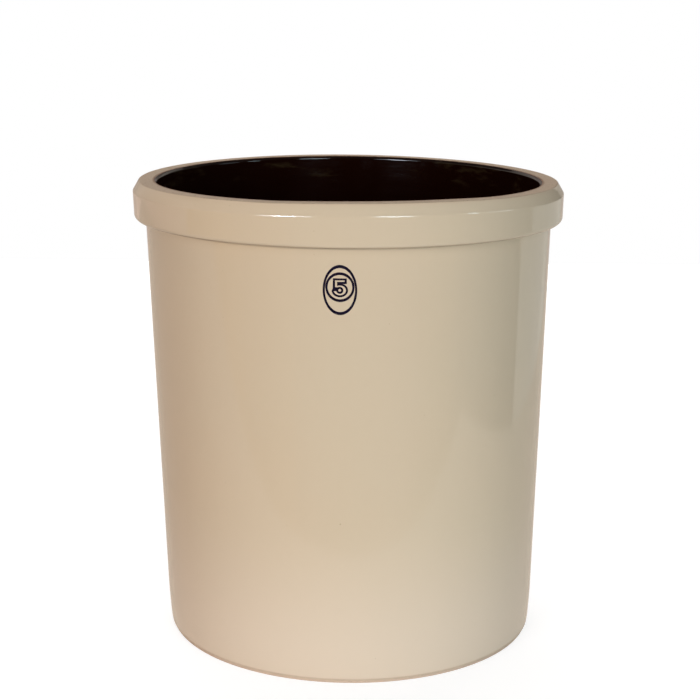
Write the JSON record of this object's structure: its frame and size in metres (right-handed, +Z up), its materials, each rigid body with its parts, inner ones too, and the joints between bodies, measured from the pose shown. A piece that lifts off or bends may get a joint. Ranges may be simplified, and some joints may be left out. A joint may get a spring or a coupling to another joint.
{
  "type": "preserving crock",
  "caption": "Straight-sided stoneware crock, slightly tapered, with a thick collar round an open mouth, dark glazed inside and pale glazed outside, for pickling and storing food.",
  "frame": {"origin": "centre of the flat base, on the surface that the crock stands on", "axes": "+Z up along the crock's own axis, -Y towards the front, where the capacity numeral is"},
  "size_m": [0.319, 0.319, 0.343],
  "materials": {
    "bare_stoneware": "bare fired stoneware, matte, warm grey-brown, seen on the land and the foot",
    "pale_glaze": "glossy pale buff glaze",
    "dark_glaze": "glossy dark brown, nearly black glaze",
    "mark_blue": "dark blue printed capacity numeral under a clear glaze, used only by the visual model"
  },
  "bodies": {
    "root": {"clay_body": "bare_stoneware", "outer_glaze": "pale_glaze", "lining_glaze": "dark_glaze"}
  },
  "joints": []
}
